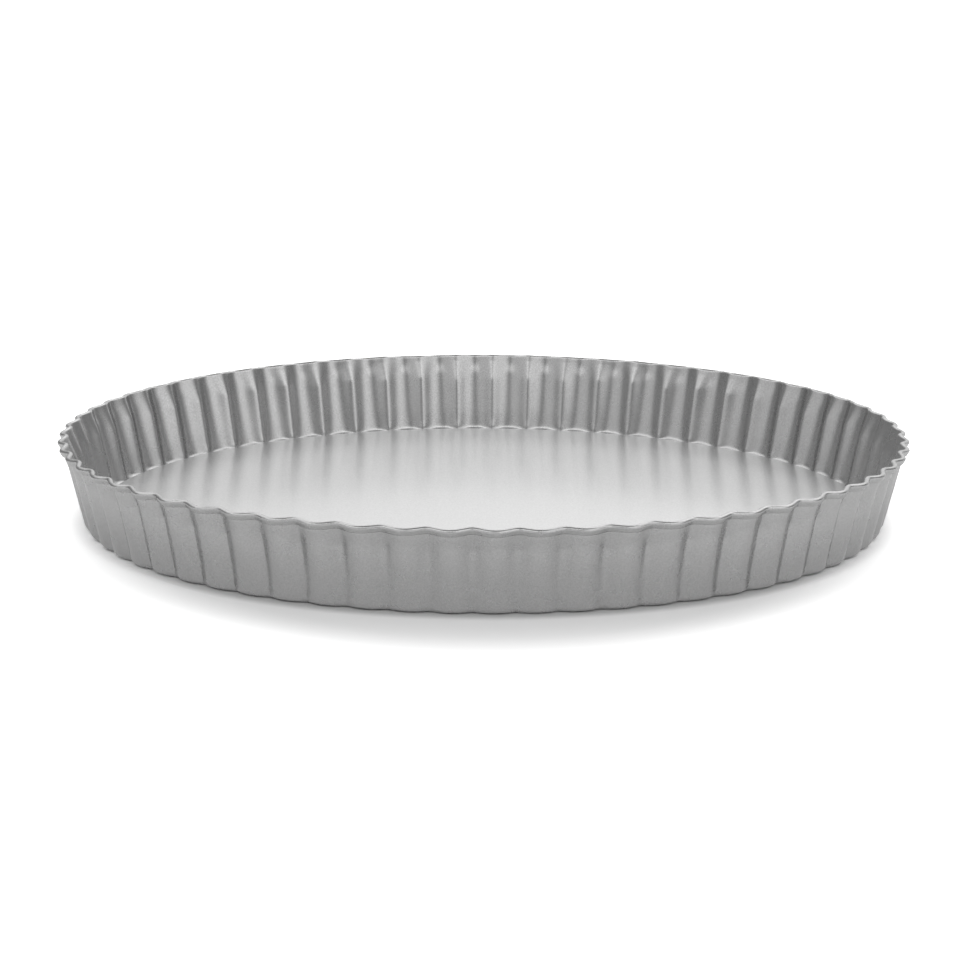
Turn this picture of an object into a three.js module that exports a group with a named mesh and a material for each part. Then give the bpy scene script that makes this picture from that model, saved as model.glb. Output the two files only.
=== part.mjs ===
// A fluted tart pan with a loose base: a pressed sheet ring, and a flat disc that rests on its ledge.
// Millimetres, +Z up. The origin is the centre of the circle that the pan stands on.

import * as THREE from "three";

// Driving dimensions of the ring.
const RIM_DIAMETER = 281; // over the crowns of the hem
const PAN_HEIGHT = 28.2; // to the top of the rim, over a crease
const FLUTES = 64;
const SHEET = 0.6; // thickness of the pressed sheet
const BASE_DIAMETER = 264.4; // where the crown line of the wall would meet the table
const FLARE = THREE.MathUtils.degToRad(14.8); // lean of the wall, from upright
const SHOULDER_Z = 21; // above this the wall leans out a little more, to meet the rim

// The flutes: round crowns that bulge outwards, with a sharp crease between neighbours.
const FOOT_DEPTH = 1.75; // crown to crease at the foot of the wall
const SHOULDER_DEPTH = 2.6;
const RIM_DEPTH = 2;
const WALL_SOFTNESS = 0.04; // rounding of the crease, as a share of the pitch
const RIM_SOFTNESS = 0.12;
const RIM_DIP = 0.5; // the rim is this much lower over a crown

// The hem: the sheet's top edge folded outwards and down.
const HEM_HEIGHT = 2.4;
const HEM_GAP = 0.4; // between the two layers, at the fold
const HEM_THICKNESS = 2 * SHEET + HEM_GAP;

// The foot: the bend between the wall and the flat ledge.
const CROWN_BEND = 3.2; // outside radius of the bend
const CREASE_BEND = 1.4;
const LEDGE_INNER_RADIUS = 121;

// The loose base.
const DISC_RADIUS = 129.5;
const DISC_THICKNESS = 1.2;
const DISC_EDGE_BEVEL = 0.25;
const REST_GAP = 0.05; // the disc over the ledge

// Facets of the solids.
const COLUMNS = [0, 0.08, 0.27, 0.5, 0.73, 0.92]; // places across one flute, crease to crease
const BEND_STEPS = 2;
const DISC_SEGMENTS = 192;

const PITCH = (2 * Math.PI) / FLUTES;
const WALL_TOP_Z = PAN_HEIGHT - RIM_DIP - HEM_THICKNESS / 2; // where the fold over a crown is widest
const WALL_TOP_RADIUS = RIM_DIAMETER / 2 - SHEET - HEM_GAP; // outer face of the wall there
const { lerp, smoothstep } = THREE.MathUtils;

// Radius of the wall's outer face along a crown, at height z: a straight flare that leans out more at the top.
function crownRadius(z) {
  const straight = (height) => BASE_DIAMETER / 2 + Math.tan(FLARE) * height;
  if (z <= SHOULDER_Z) return straight(z);
  const reach = WALL_TOP_RADIUS - straight(WALL_TOP_Z);
  const share = (z - SHOULDER_Z) / (WALL_TOP_Z - SHOULDER_Z);
  return straight(z) + reach * share * share;
}

function fluteDepth(z) {
  const lower = lerp(FOOT_DEPTH, SHOULDER_DEPTH, Math.min(z / SHOULDER_Z, 1));
  return lerp(lower, RIM_DEPTH, smoothstep(z, SHOULDER_Z, WALL_TOP_Z));
}

function softness(z) {
  const share = smoothstep(z, SHOULDER_Z, WALL_TOP_Z);
  return lerp(WALL_SOFTNESS, RIM_SOFTNESS, share);
}

// 1 on a crease and 0 on a crown. Each flute is an arc, and the crease between two is rounded.
function creaseShare(angle, soft = WALL_SOFTNESS) {
  const flute = angle / PITCH - 0.5; // a whole number on a crease, so that crowns lie on the axes
  const fromCrease = Math.abs(flute - Math.round(flute));
  const shift = Math.hypot(0.5, soft) - 0.5;
  const rounded = Math.hypot(fromCrease, soft) - shift;
  return ((1 - 2 * rounded) / (1 - 2 * (soft - shift))) ** 2;
}

function wallRadius(angle, z) {
  return crownRadius(z) - fluteDepth(z) * creaseShare(angle, softness(z));
}

// The wall's outer face at height wallZ, moved inwards by inset along its own normal, and set at height z.
function wallPoint(angle, wallZ, inset, z = wallZ) {
  const step = PITCH / 1000;
  const radius = wallRadius(angle, wallZ);
  const slope =
    (wallRadius(angle + step, wallZ) - wallRadius(angle - step, wallZ)) /
    (2 * step);
  const length = Math.hypot(radius, slope);
  const along = radius - (inset * radius) / length;
  const across = (inset * slope) / length;
  return new THREE.Vector3(
    along * Math.cos(angle) - across * Math.sin(angle),
    along * Math.sin(angle) + across * Math.cos(angle),
    z,
  );
}

// The bend at the foot, as points from the ledge up to the wall. skin is 0 outside and SHEET inside.
function bendPoints(angle, skin) {
  const bend = lerp(CROWN_BEND, CREASE_BEND, creaseShare(angle));
  const wallZ = bend * (1 - Math.sin(FLARE));
  const points = [];
  for (let i = 0; i <= BEND_STEPS; i++) {
    const turn = lerp(-Math.PI / 2, -FLARE, i / BEND_STEPS);
    const inset = bend * Math.cos(FLARE) - (bend - skin) * Math.cos(turn);
    const z = bend + (bend - skin) * Math.sin(turn);
    points.push(wallPoint(angle, wallZ, inset, z));
  }
  return points;
}

function ledgeEdge(angle, z) {
  return new THREE.Vector3(
    LEDGE_INNER_RADIUS * Math.cos(angle),
    LEDGE_INNER_RADIUS * Math.sin(angle),
    z,
  );
}

// The ring's closed section at one angle: out along the underside, up the outside, over the rim, and back inside.
function ringSection(angle) {
  const top = PAN_HEIGHT - RIM_DIP * (1 - creaseShare(angle, RIM_SOFTNESS));
  const foldZ = top - HEM_THICKNESS / 2;
  const hemZ = top - HEM_HEIGHT;
  const hemFace = -(SHEET + HEM_GAP);
  return [
    ledgeEdge(angle, 0),
    ...bendPoints(angle, 0),
    wallPoint(angle, SHOULDER_Z, 0),
    wallPoint(angle, hemZ - HEM_GAP, 0),
    wallPoint(angle, hemZ, hemFace),
    wallPoint(angle, foldZ, hemFace),
    wallPoint(angle, foldZ, -HEM_GAP / 2, top),
    wallPoint(angle, foldZ, SHEET),
    wallPoint(angle, SHOULDER_Z, SHEET),
    ...bendPoints(angle, SHEET).reverse(),
    ledgeEdge(angle, SHEET),
  ];
}

// A closed surface through sections that repeat round the circle.
function surfaceThrough(sections) {
  const size = sections[0].length;
  const corner = (i, j) => (i % sections.length) * size + (j % size);
  const index = [];
  for (let i = 0; i < sections.length; i++) {
    for (let j = 0; j < size; j++) {
      const [a, b] = [corner(i, j), corner(i + 1, j)];
      const [c, d] = [corner(i + 1, j + 1), corner(i, j + 1)];
      index.push(a, b, c, a, c, d);
    }
  }
  const geometry = new THREE.BufferGeometry().setFromPoints(sections.flat());
  geometry.setIndex(index);
  geometry.computeVertexNormals();
  return geometry;
}

function flutedRing() {
  const sections = [];
  for (let flute = 0; flute < FLUTES; flute++) {
    for (const place of COLUMNS) {
      sections.push(ringSection((flute + 0.5 + place) * PITCH));
    }
  }
  const coated = new THREE.MeshStandardMaterial({
    color: 0x9a9a9a,
    roughness: 0.4,
    metalness: 0.9,
  });
  const ring = new THREE.Mesh(surfaceThrough(sections), coated);
  ring.name = "fluted_ring";
  return ring;
}

// The disc is turned from its half section, and stands on the ledge.
function looseBase() {
  const [edge, bevel, thickness] = [
    DISC_RADIUS,
    DISC_EDGE_BEVEL,
    DISC_THICKNESS,
  ];
  const profile = [
    new THREE.Vector2(0, 0),
    new THREE.Vector2(edge - bevel, 0),
    new THREE.Vector2(edge, bevel),
    new THREE.Vector2(edge, thickness - bevel),
    new THREE.Vector2(edge - bevel, thickness),
    new THREE.Vector2(0, thickness),
  ];
  const coated = new THREE.MeshStandardMaterial({
    color: 0xa6a6a6,
    roughness: 0.3,
    metalness: 0.9,
  });
  const disc = new THREE.Mesh(
    new THREE.LatheGeometry(profile, DISC_SEGMENTS),
    coated,
  );
  disc.name = "loose_base";
  disc.rotation.x = Math.PI / 2; // the lathe turns about Y
  disc.position.z = SHEET + REST_GAP;
  return disc;
}

const pan = new THREE.Group();
pan.add(flutedRing(), looseBase());

export default pan;
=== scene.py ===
"""The looks of a fluted tart pan with a loose base: its two pieces of coated sheet, and a plain studio."""

import math

import bpy
import numpy as np
from mathutils import Matrix, Vector


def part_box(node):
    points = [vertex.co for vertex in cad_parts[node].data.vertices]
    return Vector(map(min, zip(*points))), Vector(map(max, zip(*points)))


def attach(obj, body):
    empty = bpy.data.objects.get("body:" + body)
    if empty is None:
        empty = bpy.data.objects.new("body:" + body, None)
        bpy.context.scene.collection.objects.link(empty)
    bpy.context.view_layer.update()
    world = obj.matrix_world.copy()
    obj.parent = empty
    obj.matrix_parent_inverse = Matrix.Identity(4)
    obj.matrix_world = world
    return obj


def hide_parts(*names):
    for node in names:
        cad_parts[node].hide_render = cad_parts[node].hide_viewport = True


MM = 0.001

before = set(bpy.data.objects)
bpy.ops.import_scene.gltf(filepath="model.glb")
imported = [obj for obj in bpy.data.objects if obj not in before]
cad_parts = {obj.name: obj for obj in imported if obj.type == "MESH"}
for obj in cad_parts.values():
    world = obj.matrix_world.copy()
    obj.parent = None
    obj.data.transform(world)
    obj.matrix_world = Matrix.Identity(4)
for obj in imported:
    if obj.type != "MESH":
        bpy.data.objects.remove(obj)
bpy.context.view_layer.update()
RING_LOW, RING_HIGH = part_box("fluted_ring")
BASE_LOW, BASE_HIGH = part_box("loose_base")

# The ring, in millimetres. Its size comes from the frame.
RIM_RADIUS = RING_HIGH.x / MM
RIM_TOP = RING_HIGH.z / MM  # over a crease
FLUTES = 64
SHEET = 0.6
FOOT_RADIUS = 132.2  # where the crown line of the wall would meet the table
FLARE = math.radians(14.2)
SHOULDER_Z = 20  # above this each crease opens into a wedge towards the rim
FOOT_DEPTH = 1.75  # crown to crease
SHOULDER_DEPTH = 2.6
RIM_DEPTH = 1.6
FLUTE_POWER = 2.1  # 2 would make each flute a parabola
FOOT_POWER = 3.0  # the flutes are flatter at the foot
FOOT_ZONE = 8  # height over which the one turns into the other
OUTER_SOFTNESS = 0.12  # rounding of a crease, as a share of the pitch
INNER_SOFTNESS = 0.09
RIM_SOFTNESS = 0.16
WEDGE_WIDTH = 0.12  # half the width of a crease's wedge at the rim, as a share of the pitch
WEDGE_LEAN = 0.45  # slope of a wedge's sides, as a share of the flute's own slope there
RIM_DIP = 0.5  # the rim is this much lower over a crown
BELLY = 0.38  # the folding tool pushes each crown outwards under the hem
BELLY_FALL = 3  # how fast the belly fades towards the creases
BELLY_LOW = 21
BELLY_HIGH = 25.2
TRIM_Z = 23  # above this the wall eases to the rim's radius
TOP_ROWS_Z = SHOULDER_Z - 1  # the mesh has closer rows above this

HEM_HEIGHT = 2.4
HEM_GAP = 0.1  # between the wall and the tip of the folded flap
FOLD_GAP = 0.55  # at the fold, which isn't pressed flat
FOLD_RADIUS = SHEET + FOLD_GAP / 2
SLOT_DEPTH = 0.9  # how far the gap behind the flap is open, from the flap's cut edge
SLOT_ROUNDING = 0.2
FLAP_EDGE = ((0, 0.06), (0.12, 0), (0.88, 0), (1, 0.09))  # share of the sheet's thickness, and height
CROWN_BEND = 3.1  # outside radius of the bend at the foot
CREASE_BEND = 2.2
PINCH = 0.2  # depth of the nick where a crease meets the foot
PINCH_Z = 2.6
PINCH_SPAN = 0.8
PINCH_WIDTH = 0.035  # as a share of the pitch
LEDGE_INNER_RADIUS = 121
CUT_EDGE = 0.15  # rounding of a cut edge of the sheet

# The disc. Its size comes from the frame.
DISC_RADIUS = BASE_HIGH.x / MM
DISC_UNDERSIDE = BASE_LOW.z / MM
DISC_TOP = BASE_HIGH.z / MM
DISC_ROUNDING = 0.3

# The meshes' rows and columns.
BELOW_HEM = 0.3  # from the outer wall's last row to the hem over a crown
BELOW_FOLD = 0.4  # from the inner wall's last row to the widest part of the fold
LEDGE_ROWS = (CUT_EDGE, 2, 5)  # from the ledge's inner edge
COLUMNS_PER_FLUTE = 16
BEND_STEPS = 8
FOLD_STEPS = 12
LOWER_WALL_STEPS = 11
OUTER_TOP_STEPS = 10
INNER_TOP_STEPS = 13
DISC_ROWS = (20, 60, 100, 120)  # radii
DISC_EDGE_POINTS = 6
DISC_SEGMENTS = 256

PITCH = 2 * math.pi / FLUTES
WALL_TOP_Z = RIM_TOP - RIM_DIP - FOLD_RADIUS
WALL_TOP_RADIUS = RIM_RADIUS - SHEET - FOLD_GAP

# No two creases are pressed quite alike. The rows are depth, wedge height, wedge width and rim height.
UNEVEN_SEED = 12
UNEVEN = np.random.default_rng(UNEVEN_SEED).uniform(-1, 1, (4, FLUTES))
UNEVEN_DEPTH = 0.04  # as a share of the depth
UNEVEN_WEDGE = 1.0
UNEVEN_WIDTH = 0.25  # as a share of the wedge width
UNEVEN_RIM = 0.1


def lerp(a, b, share):
    return a + (b - a) * share


def smoothstep(x, low, high):
    share = np.clip((x - low) / (high - low), 0, 1)
    return share * share * (3 - 2 * share)


# ---------------------------------------------------------------- the fluted wall


def straight_radius(z):
    """The wall's outer face along a crown, without the belly: a straight flare, trimmed to meet the rim."""
    overshoot = FOOT_RADIUS + math.tan(FLARE) * WALL_TOP_Z + BELLY - WALL_TOP_RADIUS
    share = np.maximum(0, (z - TRIM_Z) / (WALL_TOP_Z - TRIM_Z))
    return FOOT_RADIUS + math.tan(FLARE) * z - overshoot * share**2


def crease_number(angle):
    return np.round(angle / PITCH - 0.5).astype(int) % FLUTES


def from_crease(angle):
    """Distance to the nearest crease, as a share of the pitch. Crowns lie on the axes."""
    flute = angle / PITCH - 0.5
    return np.abs(flute - np.round(flute))


def wedge_share(angle, z):
    """0 below the shoulder, rising evenly to 1 at the rim."""
    start = SHOULDER_Z + UNEVEN_WEDGE * UNEVEN[1, crease_number(angle)]
    return np.clip((z - start) / (WALL_TOP_Z - start), 0, 1)


def flute_depth(angle, z):
    lower = lerp(FOOT_DEPTH, SHOULDER_DEPTH, np.clip(z / SHOULDER_Z, 0, 1))
    depth = lower + (RIM_DEPTH - SHOULDER_DEPTH) * wedge_share(angle, z)
    return depth * (1 + UNEVEN_DEPTH * UNEVEN[0, crease_number(angle)])


def wedge_width(angle, z):
    return WEDGE_WIDTH * wedge_share(angle, z) * (1 + UNEVEN_WIDTH * UNEVEN[2, crease_number(angle)])


def widened(distance, wedge, softness):
    """Distance from a crease, made to rise slowly over the wedge and at the full rate beyond it."""
    rounded = np.hypot(distance, softness)
    beyond = (rounded - wedge + np.hypot(rounded - wedge, softness)) / 2
    return lerp(beyond, rounded, WEDGE_LEAN)


def crease_share(angle, softness, wedge=0, power=FLUTE_POWER):
    """1 on a crease and 0 on a crown. The wedge is given by its half width."""
    here, crease, crown = (widened(distance, wedge, softness) for distance in (from_crease(angle), 0, 0.5))
    return ((crown - here) / (crown - crease)) ** power


def pinch(angle, z):
    across = from_crease(angle) / PINCH_WIDTH
    along = (z - PINCH_Z) / PINCH_SPAN
    return PINCH * np.exp(-(across**2) - along**2)


def wall_radius(angle, z, inside):
    """Radius of the wall's outer face. inside is 0 for the outside's own shape, and 1 for the inside's."""
    softness = lerp(lerp(OUTER_SOFTNESS, INNER_SOFTNESS, inside), RIM_SOFTNESS, wedge_share(angle, z))
    power = lerp(FOOT_POWER, FLUTE_POWER, np.clip(z / FOOT_ZONE, 0, 1))
    share = crease_share(angle, softness, inside * wedge_width(angle, z), power)
    belly = BELLY * smoothstep(z, BELLY_LOW, BELLY_HIGH) * (1 - share) ** BELLY_FALL
    return straight_radius(z) + belly - flute_depth(angle, z) * share - pinch(angle, z)


def wall_point(angle, wall_z, inset, z=None):
    """The wall's outer face at height wall_z, moved inwards by inset along its normal, set at height z."""
    step = PITCH / 1000
    inside = np.clip(inset / SHEET, 0, 1)
    before, radius, after = (wall_radius(angle + turn, wall_z, inside) for turn in (-step, 0, step))
    slope = (after - before) / (2 * step)
    length = np.hypot(radius, slope)
    along = radius - inset * radius / length
    across = inset * slope / length
    x = along * np.cos(angle) - across * np.sin(angle)
    y = along * np.sin(angle) + across * np.cos(angle)
    height = wall_z if z is None else z
    return np.stack([x, y, height + np.zeros_like(angle)], axis=-1)


def flat_point(angle, radius, z):
    return np.stack([radius * np.cos(angle), radius * np.sin(angle), z + np.zeros_like(angle)], axis=-1)


def foot_radius(angle):
    """Outside radius of the bend at the foot."""
    return lerp(CROWN_BEND, CREASE_BEND, crease_share(angle, OUTER_SOFTNESS) ** 2)


def foot_bend(angle, skin):
    """Rows from the ledge up to the wall. skin is 0 outside and SHEET inside."""
    bend = foot_radius(angle)
    wall_z = bend * (1 - math.sin(FLARE))
    rows = []
    for i in range(BEND_STEPS + 1):
        turn = lerp(-math.pi / 2, -FLARE, i / BEND_STEPS)
        inset = bend * math.cos(FLARE) - (bend - skin) * math.cos(turn)
        rows.append(wall_point(angle, wall_z, inset, bend + (bend - skin) * math.sin(turn)))
    return rows


def wall_rows(angle, inset, low, high, steps):
    return [wall_point(angle, lerp(low, high, i / steps), inset) for i in range(steps + 1)]


def lower_wall_rows(angle, inset):
    """Rows from the foot's bend up to the top rows, closer together near the foot."""
    low = foot_radius(angle) * (1 - math.sin(FLARE))
    shares = (np.arange(1, LOWER_WALL_STEPS) / LOWER_WALL_STEPS) ** 1.5
    return [wall_point(angle, lerp(low, TOP_ROWS_Z, share), inset) for share in shares]


def hem_rows(angle, top):
    """Rows from the slot behind the flap, round the flap's cut edge and over the rim to the inner wall."""
    fold_z = top - FOLD_RADIUS
    low = top - HEM_HEIGHT
    slot = (low + SLOT_ROUNDING, low + SLOT_DEPTH)
    rows = [wall_point(angle, z, 0) for z in slot]
    rows += [wall_point(angle, z, -HEM_GAP) for z in reversed(slot)]
    for share, rise in FLAP_EDGE:
        rows.append(wall_point(angle, low + rise, -HEM_GAP - share * SHEET))
    for share in (0.25, 0.5, 0.75):
        rows.append(wall_point(angle, lerp(low, fold_z, share), -SHEET - lerp(HEM_GAP, FOLD_GAP, share)))
    for i in range(FOLD_STEPS + 1):
        turn = (math.pi - FLARE) * i / FOLD_STEPS
        inset = SHEET - FOLD_RADIUS - FOLD_RADIUS * math.cos(turn)
        rows.append(wall_point(angle, fold_z, inset, fold_z + FOLD_RADIUS * math.sin(turn)))
    return rows


def ring_rows():
    """The ring's closed section as rows of points, each row running once round the pan."""
    places = 0.5 * (1 - np.cos(np.pi * np.arange(COLUMNS_PER_FLUTE) / COLUMNS_PER_FLUTE))
    flutes = np.arange(FLUTES)[:, None] + 0.5 + places[None, :]
    angle = (flutes * PITCH).ravel()
    lift = crease_share(angle, RIM_SOFTNESS, WEDGE_WIDTH)
    top = RIM_TOP - RIM_DIP * (1 - lift) + UNEVEN_RIM * (UNEVEN[3, crease_number(angle)] - 1) * lift
    below_hem = RIM_TOP - RIM_DIP - HEM_HEIGHT - BELOW_HEM
    below_fold = WALL_TOP_Z - BELOW_FOLD
    ledge = [LEDGE_INNER_RADIUS + outwards for outwards in LEDGE_ROWS]
    rows = [flat_point(angle, LEDGE_INNER_RADIUS, CUT_EDGE)]
    rows += [flat_point(angle, radius, 0) for radius in ledge]
    rows += foot_bend(angle, 0)
    rows += lower_wall_rows(angle, 0)
    rows += wall_rows(angle, 0, TOP_ROWS_Z, below_hem, OUTER_TOP_STEPS)
    rows += hem_rows(angle, top)
    rows += wall_rows(angle, SHEET, TOP_ROWS_Z, below_fold, INNER_TOP_STEPS)[::-1]
    rows += lower_wall_rows(angle, SHEET)[::-1]
    rows += foot_bend(angle, SHEET)[::-1]
    rows += [flat_point(angle, radius, SHEET) for radius in ledge[::-1]]
    rows.append(flat_point(angle, LEDGE_INNER_RADIUS, SHEET - CUT_EDGE))
    return np.stack(rows)


def mesh_object(name, points, faces):
    mesh = bpy.data.meshes.new(name)
    mesh.from_pydata((points * MM).tolist(), [], faces)
    mesh.polygons.foreach_set("use_smooth", [True] * len(mesh.polygons))
    mesh.update()
    piece = bpy.data.objects.new(name, mesh)
    bpy.context.scene.collection.objects.link(piece)
    return piece


def closed_grid(rows, columns):
    """Faces of a grid that closes on itself both ways."""
    faces = []
    for i in range(rows):
        here = i * columns
        above = (i + 1) % rows * columns
        for j in range(columns):
            k = (j + 1) % columns
            faces.append((here + j, here + k, above + k, above + j))
    return faces


def fluted_ring():
    rows = ring_rows()
    count, columns = rows.shape[:2]
    return mesh_object("pressed_ring", rows.reshape(-1, 3), closed_grid(count, columns))


# ---------------------------------------------------------------- the loose base


def disc_profile():
    """Radius and height, from the middle of the underside round the edge to the middle of the top."""
    radii = (*DISC_ROWS, DISC_RADIUS - 1)
    edge = DISC_RADIUS - DISC_ROUNDING
    profile = [(radius, DISC_UNDERSIDE) for radius in radii]
    for middle, start in ((DISC_UNDERSIDE + DISC_ROUNDING, -90), (DISC_TOP - DISC_ROUNDING, 0)):
        for turn in np.radians(np.linspace(start, start + 90, DISC_EDGE_POINTS)):
            profile.append((edge + DISC_ROUNDING * math.cos(turn), middle + DISC_ROUNDING * math.sin(turn)))
    profile += [(radius, DISC_TOP) for radius in reversed(radii)]
    return profile


def disc_faces(rows):
    """Faces of the turned disc. The last two points are the middles of the underside and the top."""
    top_row = (rows - 1) * DISC_SEGMENTS
    underside_middle = rows * DISC_SEGMENTS
    faces = []
    for j in range(DISC_SEGMENTS):
        k = (j + 1) % DISC_SEGMENTS
        for here in range(0, top_row, DISC_SEGMENTS):
            above = here + DISC_SEGMENTS
            faces.append((here + j, here + k, above + k, above + j))
        faces.append((k, j, underside_middle))
        faces.append((top_row + j, top_row + k, underside_middle + 1))
    return faces


def loose_base():
    profile = disc_profile()
    angle = 2 * math.pi * np.arange(DISC_SEGMENTS) / DISC_SEGMENTS
    rows = np.stack([flat_point(angle, radius, z) for radius, z in profile])
    middles = np.array([[0, 0, DISC_UNDERSIDE], [0, 0, DISC_TOP]])
    return mesh_object("base_disc", np.vstack([rows.reshape(-1, 3), middles]), disc_faces(len(profile)))


# ---------------------------------------------------------------- materials

# The coating. Sizes are in millimetres, and the spreads are to either side of the middle value.
FLECK_SIZE = 0.5
FLECK_SPREAD = 0.09  # as a share of the grey
PATCH_SIZE = 9
PATCH_SPREAD = 0.015  # of the roughness
WAVE_SIZE = 12
WAVE_DEPTH = 0.03
FILM_ROUGHNESS = 0.17
FILM_IOR = 1.55
NOISE_LOW = 0.3  # most of the noise lies between these
NOISE_HIGH = 0.7


def noise(nodes, links, size_mm, detail):
    """Noise in the object's own space. size_mm is about the width of one blotch."""
    place = nodes.new("ShaderNodeTexCoord")
    texture = nodes.new("ShaderNodeTexNoise")
    texture.inputs["Scale"].default_value = 1 / (size_mm * MM)
    texture.inputs["Detail"].default_value = detail
    links.new(place.outputs["Object"], texture.inputs["Vector"])
    return texture.outputs["Fac"]


def map_range(nodes, links, source, low, high, low_value, high_value, step="SMOOTHSTEP"):
    """Goes from low_value to high_value as source goes from low to high."""
    node = nodes.new("ShaderNodeMapRange")
    node.interpolation_type = step
    node.inputs["From Min"].default_value = low
    node.inputs["From Max"].default_value = high
    node.inputs["To Min"].default_value = low_value
    node.inputs["To Max"].default_value = high_value
    links.new(source, node.inputs["Value"])
    return node.outputs["Result"]


def spread(nodes, links, source, low, high):
    """Noise mapped to the range from low to high."""
    return map_range(nodes, links, source, NOISE_LOW, NOISE_HIGH, low, high, "LINEAR")


def value(nodes, links, operation, *terms):
    """One step of arithmetic. A term is a number or a socket."""
    node = nodes.new("ShaderNodeMath")
    node.operation = operation
    for socket, term in zip(node.inputs, terms):
        if isinstance(term, (int, float)):
            socket.default_value = term
        else:
            links.new(term, socket)
    return node.outputs["Value"]


def grey_colour(nodes, links, source):
    colour = nodes.new("ShaderNodeCombineColor")
    for channel in ("Red", "Green", "Blue"):
        links.new(source, colour.inputs[channel])
    return colour.outputs["Color"]


def coated_metal(name, grey, roughness, film):
    """A silver coating: metal flake, a fine fleck and a faint waviness. film is 1 for a clear top layer."""
    material = bpy.data.materials.new(name)
    material.use_nodes = True
    nodes, links = material.node_tree.nodes, material.node_tree.links
    shader = nodes["Principled BSDF"]
    blotches = noise(nodes, links, FLECK_SIZE, 2)
    fleck = spread(nodes, links, blotches, grey * (1 - FLECK_SPREAD), grey * (1 + FLECK_SPREAD))
    links.new(grey_colour(nodes, links, fleck), shader.inputs["Base Color"])
    blotches = noise(nodes, links, PATCH_SIZE, 3)
    patches = spread(nodes, links, blotches, roughness - PATCH_SPREAD, roughness + PATCH_SPREAD)
    links.new(patches, shader.inputs["Roughness"])
    waves = nodes.new("ShaderNodeBump")
    waves.inputs["Distance"].default_value = WAVE_DEPTH * MM
    links.new(noise(nodes, links, WAVE_SIZE, 1), waves.inputs["Height"])
    links.new(waves.outputs["Normal"], shader.inputs["Normal"])
    shader.inputs["Metallic"].default_value = 1
    shader.inputs["Coat Weight"].default_value = film
    shader.inputs["Coat Roughness"].default_value = FILM_ROUGHNESS
    shader.inputs["Coat IOR"].default_value = FILM_IOR
    return material


# ---------------------------------------------------------------- the floor

FLOOR_WHITE = 0.95
FLOOR_REACH = 12 / MM  # from the axis to each side
FLOOR_CLEARANCE = 0.05  # below the pan
# Painted brightening: how much brighter the camera sees the floor's white outside the patches where the
# pan's shadow lies.
PAINTED_BRIGHTENING = 0.9
SHADOW_SHIFT = 45  # of the shadow's middle, towards the camera and away from it
SHADOW_NARROWING = 1.18  # the shadow is this much narrower than it is deep
SHADOW_CORE = 108
SHADOW_EDGE = 165
PAINTED_SHADE_REACH = 138.5  # radius where the painted shade round the foot fades out; it is darkest at the foot's radius and all the way inside it
# Painted shade: how much darker the camera sees the floor at the foot and inside it.
PAINTED_FOOT_SHADE = 0.42


def distance_from(nodes, links, y, x_scale):
    """Level distance from the point 0, y, with lengths along X taken x_scale times as long."""
    place = nodes.new("ShaderNodeNewGeometry")
    flat = nodes.new("ShaderNodeVectorMath")
    flat.operation = "MULTIPLY"
    flat.inputs[1].default_value = (x_scale, 1, 0)
    links.new(place.outputs["Position"], flat.inputs[0])
    length = nodes.new("ShaderNodeVectorMath")
    length.operation = "DISTANCE"
    length.inputs[1].default_value = (0, y * MM, 0)
    links.new(flat.outputs["Vector"], length.inputs[0])
    return length.outputs["Value"]


def painted_floor_light_and_shade(nodes, links):
    """What a direct look adds to the floor's white, all painted: a brightening, none where the shadow lies,
    and less at the foot, where painted shade darkens it.
    """
    before = distance_from(nodes, links, -SHADOW_SHIFT, SHADOW_NARROWING)
    behind = distance_from(nodes, links, SHADOW_SHIFT, SHADOW_NARROWING)
    nearer = value(nodes, links, "MINIMUM", before, behind)
    # painted brightening, none in the patches where the pan's shadow lies
    painted_brightening_beyond_shadow = map_range(nodes, links, nearer, SHADOW_CORE * MM, SHADOW_EDGE * MM, 0, PAINTED_BRIGHTENING)
    from_axis = distance_from(nodes, links, 0, 1)
    # painted shade close round the foot, darkest at the foot's radius and inside it
    painted_shade_at_foot = map_range(nodes, links, from_axis, FOOT_RADIUS * MM, PAINTED_SHADE_REACH * MM, -PAINTED_FOOT_SHADE, 0)
    return value(nodes, links, "ADD", painted_brightening_beyond_shadow, painted_shade_at_foot)


def white_sweep():
    """Matt white. The camera sees it painted brighter than its light allows, but its shadow is kept before
    and behind the pan, and painted shade darkens it at the foot.
    """
    material = bpy.data.materials.new("white_sweep")
    material.use_nodes = True
    nodes, links = material.node_tree.nodes, material.node_tree.links
    nodes.clear()
    camera = nodes.new("ShaderNodeLightPath").outputs["Is Camera Ray"]
    # only camera rays see the floor's painted brightening and painted shade
    gain = value(nodes, links, "MULTIPLY_ADD", painted_floor_light_and_shade(nodes, links), camera, 1)
    white = value(nodes, links, "MULTIPLY", gain, FLOOR_WHITE)
    diffuse = nodes.new("ShaderNodeBsdfDiffuse")
    links.new(grey_colour(nodes, links, white), diffuse.inputs["Color"])
    output = nodes.new("ShaderNodeOutputMaterial")
    links.new(diffuse.outputs["BSDF"], output.inputs["Surface"])
    return material


def floor():
    corners = np.array([[-1, -1, 0], [1, -1, 0], [1, 1, 0], [-1, 1, 0]]) * FLOOR_REACH
    plane = mesh_object("floor", corners, [(0, 1, 2, 3)])
    plane.location.z = RING_LOW.z - FLOOR_CLEARANCE * MM
    plane.data.materials.append(white_sweep())


# ---------------------------------------------------------------- the studio

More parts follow.
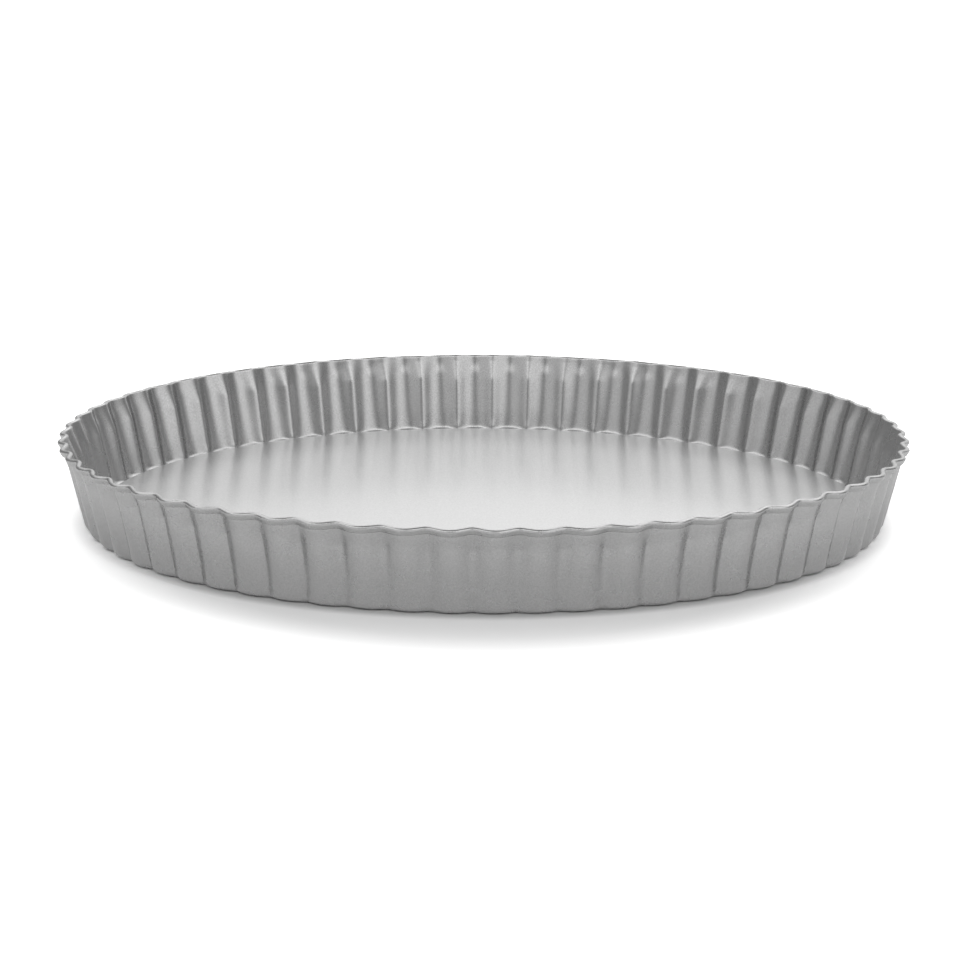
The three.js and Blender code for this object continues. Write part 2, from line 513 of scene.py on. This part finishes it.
# Soft lights: strength, azimuth, elevation and how far each spreads from its middle, in degrees.
# Azimuth 0 is the camera's side, and 90 is to the picture's right.
SOFT_LIGHTS = {
    "right softbox": (0.50, 47, 6, 52),
    "middle of the right softbox": (0.38, 47, 10, 30),
    "left softbox": (0.48, -55, 15, 46),
    "back wall": (0.69, 162, 24, 46),
    "right lamp": (0.5, 20, 32, 18),
    "left lamp": (0.5, -20, 32, 18),
    "dark gap over the camera": (-1.15, 5, 84, 43),
}
LOW_LIGHT = 0.31  # the room near the table's level
HIGH_LIGHT = 1.36  # the white ceiling
LIGHT_STEP = (26, 40)  # elevations between which the one turns into the other


def towards(azimuth, elevation):
    a, e = math.radians(azimuth), math.radians(elevation)
    return (math.cos(e) * math.sin(a), -math.cos(e) * math.cos(a), math.sin(e))


def soft_light(nodes, links, direction, strength, azimuth, elevation, spread_angle):
    facing = nodes.new("ShaderNodeVectorMath")
    facing.operation = "DOT_PRODUCT"
    facing.inputs[1].default_value = towards(azimuth, elevation)
    links.new(direction, facing.inputs[0])
    edge = math.cos(math.radians(spread_angle))
    return map_range(nodes, links, facing.outputs["Value"], edge, 1, 0, strength)


def studio():
    world = bpy.data.worlds.new("studio")
    bpy.context.scene.world = world
    world.use_nodes = True
    nodes, links = world.node_tree.nodes, world.node_tree.links
    direction = nodes.new("ShaderNodeTexCoord").outputs["Generated"]
    split = nodes.new("ShaderNodeSeparateXYZ")
    links.new(direction, split.inputs["Vector"])
    elevation = value(nodes, links, "ARCSINE", split.outputs["Z"])
    low, high = (math.radians(angle) for angle in LIGHT_STEP)
    light = map_range(nodes, links, elevation, low, high, LOW_LIGHT, HIGH_LIGHT)
    for numbers in SOFT_LIGHTS.values():
        light = value(nodes, links, "ADD", light, soft_light(nodes, links, direction, *numbers))
    light = value(nodes, links, "MAXIMUM", light, 0)
    sky = nodes["Background"]
    sky.inputs["Color"].default_value = (1, 1, 1, 1)
    links.new(light, sky.inputs["Strength"])


# ---------------------------------------------------------------- the camera

CAMERA_ELEVATION = math.radians(12.73)
CAMERA_AZIMUTH = math.radians(-1.49)  # the flutes' places fix it
CAMERA_ROLL = math.radians(0.26)
CAMERA_DISTANCE = 1099.8
LOOK_AT = (-0.19, 2.2, 9.65)  # before the azimuth is turned
LENS = 122.8
SENSOR = 36.0


def photo_camera():
    settings = bpy.data.cameras.new("camera")
    settings.lens = LENS
    settings.sensor_width = SENSOR
    camera = bpy.data.objects.new("camera", settings)
    turn = Matrix.Rotation(CAMERA_AZIMUTH, 4, "Z")
    tilt = Matrix.Rotation(math.pi / 2 - CAMERA_ELEVATION, 4, "X")
    away = Matrix.Translation((0, 0, CAMERA_DISTANCE * MM))
    roll = Matrix.Rotation(CAMERA_ROLL, 4, "Z")
    camera.matrix_world = turn @ Matrix.Translation(Vector(LOOK_AT) * MM) @ tilt @ away @ roll
    bpy.context.scene.collection.objects.link(camera)
    bpy.context.scene.camera = camera


# ---------------------------------------------------------------- assembly

ring = fluted_ring()
coated_wall = coated_metal("coated_wall", grey=0.47, roughness=0.27, film=0)
ring.data.materials.append(coated_wall)
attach(ring, "ring")
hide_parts("fluted_ring")

disc = loose_base()
coated_base = coated_metal("coated_base", grey=0.66, roughness=0.38, film=1)
disc.data.materials.append(coated_base)
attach(disc, "base")
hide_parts("loose_base")

floor()
studio()
photo_camera()
bpy.context.scene.view_settings.view_transform = "Standard"


bpy.context.view_layer.update()
